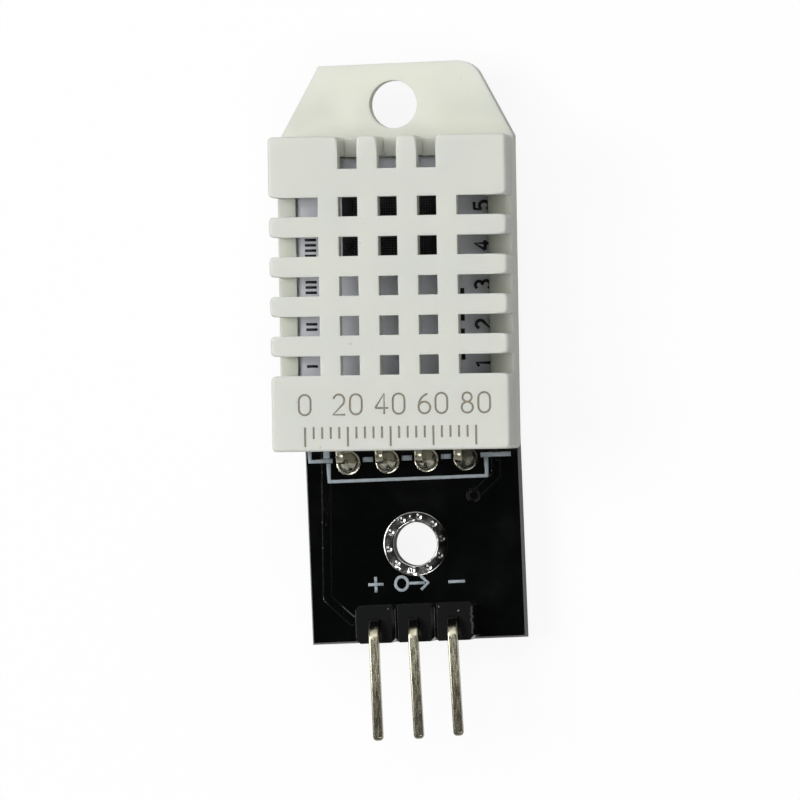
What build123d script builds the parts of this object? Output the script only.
from build123d import *
from math import atan2, degrees, sqrt
import os

# Temperature and humidity sensor module: a white grille-fronted sensor soldered flat on a black
# carrier board with a three-pin plug. Sizes in millimetres.
# X runs across the board, Y along it towards the mounting ear, Z out of the face that is read.
# The origin is the centre of the board's mounting hole, on the board's back face.

# Carrier board, snapped out of a scored panel, so that a rough web stands out along its edges
board_width = 13.7
board_thickness = 1.6
hole_to_plug_edge = 6.15
hole_to_far_edge = 21.8
score_depth = 0.5
web_reach = 0.12
copper_height = 0.05
fit_gap = 0.01

# Mounting hole with its tinned ring
mount_hole_d = 2.8
mount_plating = 0.16
mount_ring_d = 4.2
stitch_count = 10
stitch_d = 0.3
stitch_sides = 6

# Plated pin holes; their pads, barrels and solder are drawn with a few flat sides
pin_pitch = 2.54
pad_d = 1.5
pad_drill_d = 1.1
pad_plating = 0.05
pad_sides = 20
sensor_pads_x = -0.34
sensor_pads_y = 5.38
header_pads_y = -5.06

# Solder joints
solder_front_height = 0.75
solder_back_height = 0.95
solder_tip_d = 1.0
solder_margin = 0.04
tail_length = 1.5

# Three-pin plug with bent pins
header_depth = 2.45
header_height = 2.5
header_chamfer = 0.28
header_pin_size = 0.64
header_pin_reaches = (7.47, 7.44, 7.34)
header_pin_yaws = (0.3, 1.0, 1.2)
header_pin_rise = 1.0
header_pin_tip = 0.14
header_count = 3

# Chips on the back of the carrier board
chip_length = 2.0
chip_width = 1.25
chip_height = 0.5
chip_cap = 0.4
chip_x = 4.6
chip_y = -0.4
chip_fillet_reach = 0.35
chip_fillet_rise = 0.3

# Sensor case: where it sits on the board, and its skew, because it was soldered in slightly askew
case_x = -0.48
case_to_pads = 0.7
case_skew = -1.35
case_width = 15.1
case_length = 20.15
case_depth = 7.7
case_wall = 1.4
case_left_wall = 1.15
case_right_wall = 1.5
case_end_wall = 1.25
case_overhang = 0.1
case_corner_radius = 0.3
case_edge_radius = 0.15
case_seam = 0.08
grille_thickness = 1.5
grille_pitch = 2.54
grille_hole = 1.25
grille_rows = 5
grille_columns = 3
grille_first_row = 4.52
grille_notch_length = 2.1
back_floor = 0.8
ledge_height = 1.6
ledge_width = 0.5

# Mounting ear on the back half of the case
ear_thickness = 1.8
ear_height = 4.9
ear_top_width = 9.95
ear_left_drop = 0.25
ear_corner_radius = 1.6
ear_hole_d = 3.1
ear_hole_rise = 2.12
ear_hole_x = -0.17

# Parts inside the case
inner_gap = 0.1
inner_board_thickness = 0.8
controller_length = 5.0
controller_width = 4.4
controller_height = 1.0
controller_standoff = 0.1
controller_chamfer = 0.12
leg_count = 7
leg_pitch = 0.65
leg_width = 0.22
leg_thickness = 0.12
leg_reach = 0.9
small_chip_length = 1.6
small_chip_width = 0.8
small_chip_height = 0.45
capacitor_to_legs = 0.3
resistor_count = 4
resistor_spacing = 1.6
resistor_gap = 0.7
element_width = 6.4
element_length = 5.2
element_to_wall = 1.9
element_x = -0.09
carrier_height = 0.5
cover_height = 0.7
cover_rim = 0.65
cover_recess = 0.12
pip_d = 0.5
pip_height = 0.1
pip_drop = 1.3
thermistor_to_element = 2.1

# Flat leads between the inner board and the carrier board
lead_count = 4
lead_width = 0.5
lead_thickness = 0.3
lead_bend = 0.5
lead_overlap = 2.1
inner_joint_height = 0.5
inner_joint_margin = 0.3

# Worked-out places
case_y = sensor_pads_y + case_to_pads
case_base_z = board_thickness + copper_height
header_base_z = board_thickness + copper_height
header_top_z = header_base_z + header_height
header_pin_z = header_top_z + header_pin_rise
back_face_z = -copper_height
stitch_circle_d = (mount_hole_d + mount_ring_d) / 2
grille_edge_x = (grille_columns + 1) / 2 * grille_pitch - grille_hole / 2
grille_middle_y = case_length - grille_first_row - (grille_rows - 1) / 2 * grille_pitch
grille_inside_z = case_depth - grille_thickness
slot_length = case_width / 2 - grille_edge_x + case_wall
cavity_width = case_width - case_left_wall - case_right_wall
cavity_length = case_length - case_wall - case_end_wall
cavity_x = (case_left_wall - case_right_wall) / 2
cavity_y = case_wall + cavity_length / 2
front_width = case_width + 2 * case_overhang
inner_board_width = cavity_width - 2 * inner_gap
inner_board_length = cavity_length - 2 * inner_gap
inner_back_z = back_floor + ledge_height
inner_front_z = inner_back_z + inner_board_thickness
parting_z = inner_front_z + lead_thickness
controller_y = case_length / 2
resistor_y = controller_y + (controller_length + small_chip_length) / 2 + resistor_gap
element_y = case_length - case_end_wall - element_to_wall - element_length / 2
thermistor_y = element_y - (element_length + small_chip_width) / 2 - thermistor_to_element

# The sensor's own frame: its origin is the middle of the case's lower edge, on its back face,
# which lies on the pads
sensor = Plane((case_x, case_y, case_base_z)).rotated((0, 0, case_skew))


def sensor_side(x=0.0):
    """A plane along the sensor at x: its own x runs up the case, its own y out of the front."""
    return Plane(sensor.from_local_coords((x, 0, 0)), x_dir=sensor.y_dir, z_dir=sensor.x_dir)


def pin_plane(x, yaw):
    """A plane along a plug pin, turned about its upright part: its own y runs out of the front."""
    upright = Plane((x, header_pads_y, 0)).rotated((0, 0, yaw))
    return Plane(upright.origin, x_dir=upright.y_dir, z_dir=upright.x_dir)


def bent_strip(plane, points, radius, width, thickness):
    """A strip of metal bent along points in a plane: width lies across the plane, thickness in it."""
    with BuildPart(mode=Mode.PRIVATE) as strip:
        with BuildLine(plane) as route:
            FilletPolyline(*points, radius=radius)
        section = Plane(route.line @ 0, x_dir=plane.z_dir, z_dir=route.line % 0)
        with BuildSketch(section):
            Rectangle(width, thickness)
        sweep()
    return strip.part


def save(part, name):
    """Labels a finished piece and writes it."""
    part.label = name
    export_step(part, f"parts/{name}.step")


os.makedirs("parts", exist_ok=True)

# Places of the plated holes
sensor_pad_grid = GridLocations(pin_pitch, 0, lead_count, 1)
header_pad_grid = GridLocations(pin_pitch, 0, header_count, 1)
sensor_pad_places = [
    Location((sensor_pads_x, sensor_pads_y, 0)) * place for place in sensor_pad_grid.locations
]
header_pad_places = [Location((0, header_pads_y, 0)) * place for place in header_pad_grid.locations]
chip_places = [Location((side * chip_x, chip_y, back_face_z)) for side in (-1, 1)]

# Carrier board: glass-fibre laminate with a drilled hole for the screw and for each pin
board_length = hole_to_far_edge + hole_to_plug_edge
web_bottom_z = score_depth
web_top_z = board_thickness - score_depth
score_angle = degrees(atan2(web_reach, score_depth))
with BuildPart() as board:
    with Locations((0, hole_to_far_edge - board_length / 2, web_bottom_z)):
        Box(
            board_width + 2 * web_reach,
            board_length + 2 * web_reach,
            web_top_z - web_bottom_z,
            align=(Align.CENTER, Align.CENTER, Align.MIN),
        )
    extrude(board.faces().sort_by(Axis.Z)[-1], amount=score_depth, taper=score_angle)
    extrude(board.faces().sort_by(Axis.Z)[0], amount=score_depth, taper=score_angle)
    with BuildSketch():
        Circle(mount_hole_d / 2 + mount_plating + fit_gap)
        with Locations(*sensor_pad_places, *header_pad_places):
            Circle(pad_drill_d / 2)
    extrude(amount=board_thickness, mode=Mode.SUBTRACT)
save(board.part, "carrier_board")

# Tinned ring of the mounting hole: a plated barrel with a flange on each face of the board,
# stitched through by small vias
with BuildPart() as ring:
    with BuildSketch(Plane.XZ):
        with BuildLine():
            Polyline(
                (mount_hole_d / 2, -copper_height),
                (mount_ring_d / 2, -copper_height),
                (mount_ring_d / 2, 0),
                (mount_hole_d / 2 + mount_plating, 0),
                (mount_hole_d / 2 + mount_plating, board_thickness),
                (mount_ring_d / 2, board_thickness),
                (mount_ring_d / 2, board_thickness + copper_height),
                (mount_hole_d / 2, board_thickness + copper_height),
                close=True,
            )
        make_face()
    revolve(axis=Axis.Z)
    with BuildSketch(Plane.XY.offset(-copper_height)):
        with PolarLocations(stitch_circle_d / 2, stitch_count):
            RegularPolygon(stitch_d / 2, stitch_sides)
    extrude(amount=board_thickness + 2 * copper_height, mode=Mode.SUBTRACT)
save(ring.part, "mounting_ring")


def plated_pad(square=False):
    """A pin hole's plating: a barrel through the board with a pad on each face."""
    barrel_d = pad_drill_d - 2 * fit_gap
    with BuildPart(mode=Mode.PRIVATE) as pad:
        with BuildSketch(Plane.XY.offset(back_face_z), Plane.XY.offset(board_thickness)):
            if square:
                Rectangle(pad_d, pad_d)
            else:
                RegularPolygon(pad_d / 2, pad_sides)
        extrude(amount=copper_height)
        with BuildSketch(Plane.XY.offset(back_face_z)):
            RegularPolygon(barrel_d / 2, pad_sides)
        extrude(amount=board_thickness + 2 * copper_height)
        with BuildSketch(Plane.XY.offset(back_face_z)):
            RegularPolygon(barrel_d / 2 - pad_plating, pad_sides)
        extrude(amount=board_thickness + 2 * copper_height, mode=Mode.SUBTRACT)
    return pad.part


with BuildPart() as sensor_pads:
    with Locations(*sensor_pad_places):
        add(plated_pad())
save(sensor_pads.part, "sensor_pads")

with BuildPart() as header_pads:
    with Locations(*header_pad_places[1:]):
        add(plated_pad())
    with Locations(header_pad_places[0]):
        add(plated_pad(square=True))
save(header_pads.part, "header_pads")

# Sensor leads: flat tinned strips that lie on the inner board, leave through the case's lower
# wall and bend down through the carrier board
lead_places = [place.position.X for place in sensor_pad_grid.locations]
lead_middle_z = inner_front_z + lead_thickness / 2
lead_end_z = -case_base_z - tail_length
lead_route = [
    (case_wall + inner_gap + lead_overlap, lead_middle_z),
    (-case_to_pads, lead_middle_z),
    (-case_to_pads, lead_end_z),
]
leads = []
for number, lead_x in enumerate(lead_places, start=1):
    lead = bent_strip(sensor_side(lead_x), lead_route, lead_bend, lead_width, lead_thickness)
    leads.append(lead)
    save(lead, f"sensor_lead_{number}")

# Plug pins: square wire, soldered into the board, bent over above the plug's body
header_pins = []
for place, sign, reach, yaw in zip(
    header_pad_places, ("plus", "signal", "minus"), header_pin_reaches, header_pin_yaws
):
    pin_side = pin_plane(place.position.X, yaw)
    header_route = [(0, -tail_length), (0, header_pin_z), (-reach, header_pin_z)]
    with BuildPart() as header_pin:
        add(bent_strip(pin_side, header_route, header_pin_rise, header_pin_size, header_pin_size))
        chamfer(header_pin.faces().sort_by(Axis.Y)[0].edges(), header_pin_tip)
        chamfer(header_pin.faces().sort_by(Axis.Z)[0].edges(), header_pin_tip)
    header_pins.append(header_pin.part)
    save(header_pin.part, f"header_pin_{sign}")

# Plug body: one moulding of three eight-sided blocks that stand on the board's pads
notch_size = header_chamfer * sqrt(2)
pin_hole_size = header_pin_size + 2 * fit_gap
with BuildPart() as header_body:
    with BuildSketch(Plane.XY.offset(header_base_z)):
        with Locations((0, header_pads_y)):
            with GridLocations(pin_pitch, 0, header_count, 1):
                Rectangle(pin_pitch, header_depth)
        with Locations((0, header_pads_y)):
            with GridLocations(pin_pitch, header_depth, header_count + 1, 2):
                Rectangle(notch_size, notch_size, rotation=45, mode=Mode.SUBTRACT)
            with GridLocations(pin_pitch, 0, header_count, 1):
                Rectangle(pin_hole_size, pin_hole_size, mode=Mode.SUBTRACT)
    extrude(amount=header_height)
save(header_body.part, "header_body")


def solder_joint(through):
    """Solder round one pin: a neck in the hole, a cone behind and, if it came through, in front."""
    neck_r = pad_drill_d / 2 - pad_plating - 2 * fit_gap
    foot_r = pad_d / 2 - solder_margin
    cone_in = foot_r - solder_tip_d / 2
    top_z = board_thickness + copper_height
    with BuildPart(mode=Mode.PRIVATE) as joint:
        with BuildSketch(Plane.XY.offset(back_face_z)):
            RegularPolygon(neck_r, pad_sides)
        extrude(amount=top_z - back_face_z)
        with BuildSketch(Plane.XY.offset(back_face_z)):
            RegularPolygon(foot_r, pad_sides)
        extrude(amount=-solder_back_height, taper=degrees(atan2(cone_in, solder_back_height)))
        if through:
            with BuildSketch(Plane.XY.offset(top_z)):
                RegularPolygon(foot_r, pad_sides)
            extrude(amount=solder_front_height, taper=degrees(atan2(cone_in, solder_front_height)))
    return joint.part


with BuildPart() as sensor_joints:
    with Locations(*sensor_pad_places):
        add(solder_joint(through=True))
    for lead in leads:
        add(lead, mode=Mode.SUBTRACT)
    # The solder stops short of the case's lower wall
    with BuildSketch(sensor):
        with Locations((0, case_wall / 2 - fit_gap)):
            Rectangle(case_width, case_wall)
    extrude(amount=case_depth, mode=Mode.SUBTRACT)
save(sensor_joints.part, "sensor_joints")

with BuildPart() as header_joints:
    with Locations(*header_pad_places):
        add(solder_joint(through=False))
    for header_pin in header_pins:
        add(header_pin, mode=Mode.SUBTRACT)
save(header_joints.part, "header_joints")

# Case back: a tray with a ledge for the inner board, slots for the leads and a mounting ear
with BuildPart() as case_back:
    with BuildSketch(sensor):
        with Locations((0, case_length / 2)):
            Rectangle(case_width, case_length)
    extrude(amount=parting_z)
    fillet(case_back.edges().filter_by(Axis.Z), case_corner_radius)
    chamfer(case_back.faces().sort_by(Axis.Z)[-1].edges(), case_seam)
    with BuildSketch(sensor) as ear:
        with BuildLine():
            Polyline(
                (-case_width / 2, case_length - case_end_wall),
                (-case_width / 2, case_length),
                (-ear_top_width / 2, case_length + ear_height - ear_left_drop),
                (ear_top_width / 2, case_length + ear_height),
                (case_width / 2, case_length),
                (case_width / 2, case_length - case_end_wall),
                close=True,
            )
        make_face()
        fillet(ear.vertices().sort_by(Axis.Y)[-1], ear_corner_radius)
        with Locations((ear_hole_x, case_length + ear_hole_rise)):
            Circle(ear_hole_d / 2, mode=Mode.SUBTRACT)
    extrude(amount=ear_thickness)
    with BuildSketch(sensor.offset(back_floor)):
        with Locations((cavity_x, cavity_y)):
            Rectangle(cavity_width - 2 * ledge_width, cavity_length - 2 * ledge_width)
    extrude(amount=parting_z - back_floor, mode=Mode.SUBTRACT)
    with BuildSketch(sensor.offset(inner_back_z)):
        with Locations((cavity_x, cavity_y)):
            Rectangle(cavity_width, cavity_length)
    extrude(amount=parting_z - inner_back_z, mode=Mode.SUBTRACT)
    with BuildSketch(sensor.offset(inner_front_z)):
        with Locations((0, case_wall / 2)):
            with GridLocations(pin_pitch, 0, lead_count, 1):
                Rectangle(lead_width + 2 * fit_gap, case_wall)
    extrude(amount=lead_thickness, mode=Mode.SUBTRACT)
save(case_back.part, "case_back")

# Case front: a cover whose face is a grille; its outer slots run on down the side walls, and its
# upper ones are notches through the end wall
with BuildPart() as case_front:
    with BuildSketch(sensor.offset(parting_z)):
        with Locations((0, case_length / 2)):
            Rectangle(front_width, case_length)
    extrude(amount=case_depth - parting_z)
    fillet(case_front.edges().filter_by(Axis.Z), case_corner_radius)
    chamfer(case_front.faces().sort_by(Axis.Z)[0].edges(), case_seam)
    fillet(case_front.faces().sort_by(Axis.Z)[-1].edges(), case_edge_radius)
    with BuildSketch(sensor.offset(parting_z)):
        with Locations((cavity_x, cavity_y)):
            Rectangle(cavity_width, cavity_length)
    extrude(amount=grille_inside_z - parting_z, mode=Mode.SUBTRACT)
    with BuildSketch(sensor.offset(parting_z)):
        with Locations((0, grille_middle_y)):
            with GridLocations(grille_pitch, grille_pitch, grille_columns, grille_rows):
                Rectangle(grille_hole, grille_hole)
            with GridLocations(2 * grille_edge_x + slot_length, grille_pitch, 2, grille_rows):
                Rectangle(slot_length, grille_hole)
        with Locations((0, case_length)):
            with GridLocations(grille_pitch, 0, grille_columns, 1):
                Rectangle(grille_hole, 2 * grille_notch_length)
    extrude(amount=case_depth - parting_z, mode=Mode.SUBTRACT)
save(case_front.part, "case_front")

# Inner board: it lies on the tray's ledge and carries everything that measures
with BuildPart() as inner_board:
    with BuildSketch(sensor.offset(inner_back_z)):
        with Locations((cavity_x, cavity_y)):
            Rectangle(inner_board_width, inner_board_length)
    extrude(amount=inner_board_thickness)
save(inner_board.part, "inner_board")

# Humidity element: a black carrier with a cover that holds a fine mesh in its window
with BuildPart() as element_base:
    with BuildSketch(sensor.offset(inner_front_z)):
        with Locations((element_x, element_y)):
            Rectangle(element_width, element_length)
    extrude(amount=carrier_height)
save(element_base.part, "humidity_element_base")

cover_z = inner_front_z + carrier_height
with BuildPart() as element_cover:
    with BuildSketch(sensor.offset(cover_z)):
        with Locations((element_x, element_y)):
            Rectangle(element_width, element_length)
    extrude(amount=cover_height)
    with BuildSketch(sensor.offset(cover_z + cover_height)):
        with Locations((element_x, element_y)):
            Rectangle(element_width - 2 * cover_rim, element_length - 2 * cover_rim)
    extrude(amount=-cover_recess, mode=Mode.SUBTRACT)
    with BuildSketch(sensor.offset(cover_z + cover_height)):
        with Locations((element_x + (cover_rim - element_width) / 2, element_y - pip_drop)):
            Circle(pip_d / 2)
    extrude(amount=pip_height, taper=30)
save(element_cover.part, "humidity_element_cover")

# Thermistor: a small chip on the inner board, behind a bar of the grille
with BuildPart() as thermistor:
    with BuildSketch(sensor.offset(inner_front_z)):
        with Locations((0, thermistor_y)):
            Rectangle(small_chip_length, small_chip_width)
    extrude(amount=small_chip_height)
save(thermistor.part, "thermistor")

# Controller: a chip in a moulded package under the inner board, with its row of legs on each side
controller_front_z = inner_back_z - controller_standoff
with BuildPart() as controller:
    with BuildSketch(sensor.offset(controller_front_z)):
        with Locations((0, controller_y)):
            Rectangle(controller_width, controller_length)
    extrude(amount=-controller_height)
    chamfer(controller.faces().sort_by(Axis.Z)[0].edges(), controller_chamfer)
save(controller.part, "controller_chip")

leg_z = controller_front_z - controller_height / 2
leg_foot_z = inner_back_z - leg_thickness / 2
leg_tip_x = controller_width / 2 + leg_reach
leg_bend_x = (controller_width / 2 + leg_tip_x) / 2
with BuildPart() as controller_legs:
    for place in GridLocations(0, leg_pitch, 1, leg_count).locations:
        across = Plane(
            sensor.from_local_coords((0, controller_y + place.position.Y, 0)),
            x_dir=sensor.x_dir,
            z_dir=-sensor.y_dir,
        )
        with BuildSketch(across):
            for side in (-1, 1):
                with BuildLine():
                    Polyline(
                        (side * controller_width / 2, leg_z),
                        (side * leg_bend_x, leg_z),
                        (side * leg_bend_x, leg_foot_z),
                        (side * leg_tip_x, leg_foot_z),
                    )
                trace(line_width=leg_thickness)
        extrude(amount=leg_width / 2, both=True)
save(controller_legs.part, "controller_legs")

# Small chips under the inner board: a capacitor beside each row of legs, resistors above
capacitor_x = leg_tip_x + capacitor_to_legs + small_chip_width / 2
with BuildPart() as inner_capacitors:
    with BuildSketch(sensor.offset(inner_back_z)):
        with Locations((0, controller_y)):
            with GridLocations(2 * capacitor_x, 0, 2, 1):
                Rectangle(small_chip_width, small_chip_length)
    extrude(amount=-small_chip_height)
save(inner_capacitors.part, "inner_capacitors")

with BuildPart() as inner_resistors:
    with BuildSketch(sensor.offset(inner_back_z)):
        with Locations((0, resistor_y)):
            with GridLocations(resistor_spacing, 0, resistor_count, 1):
                Rectangle(small_chip_width, small_chip_length)
    extrude(amount=-small_chip_height)
save(inner_resistors.part, "inner_resistors")

# Solder over the leads' inner ends
inner_joint_start = case_wall + inner_gap + inner_joint_margin
inner_joint_end = case_wall + inner_gap + lead_overlap + inner_joint_margin
with BuildPart() as inner_joints:
    with BuildSketch(sensor.offset(inner_front_z)):
        with Locations((0, (inner_joint_start + inner_joint_end) / 2)):
            with GridLocations(pin_pitch, 0, lead_count, 1):
                Rectangle(lead_width + 2 * inner_joint_margin, inner_joint_end - inner_joint_start)
    extrude(amount=inner_joint_height, taper=25)
    for lead in leads:
        add(lead, mode=Mode.SUBTRACT)
save(inner_joints.part, "inner_lead_joints")

# Two chips on the back of the carrier board: the signal's pull-up resistor and a capacitor
for chip_place, chip_name in zip(chip_places, ("pull_up_resistor", "bypass_capacitor")):
    with BuildPart() as chip:
        with Locations(chip_place):
            Box(
                chip_width,
                chip_length - 2 * chip_cap,
                chip_height,
                align=(Align.CENTER, Align.CENTER, Align.MAX),
            )
    save(chip.part, chip_name)

with BuildPart() as chip_caps:
    with Locations(*chip_places):
        with GridLocations(0, chip_length - chip_cap, 1, 2):
            Box(chip_width, chip_cap, chip_height, align=(Align.CENTER, Align.CENTER, Align.MAX))
save(chip_caps.part, "chip_end_caps")

with BuildPart(mode=Mode.PRIVATE) as chip_fillets:
    with BuildSketch(Plane.YZ):
        with BuildLine():
            Polyline(
                (chip_length / 2 - chip_cap, 0),
                (chip_length / 2 - chip_cap, copper_height),
                (chip_length / 2 + chip_fillet_reach, copper_height),
                (chip_length / 2 + chip_fillet_reach, 0),
                (chip_length / 2, -chip_fillet_rise),
                (chip_length / 2, 0),
                close=True,
            )
        make_face()
    extrude(amount=chip_width / 2, both=True)
    mirror(about=Plane.XZ)

with BuildPart() as chip_joints:
    with Locations(*chip_places):
        add(chip_fillets.part)
save(chip_joints.part, "chip_joints")
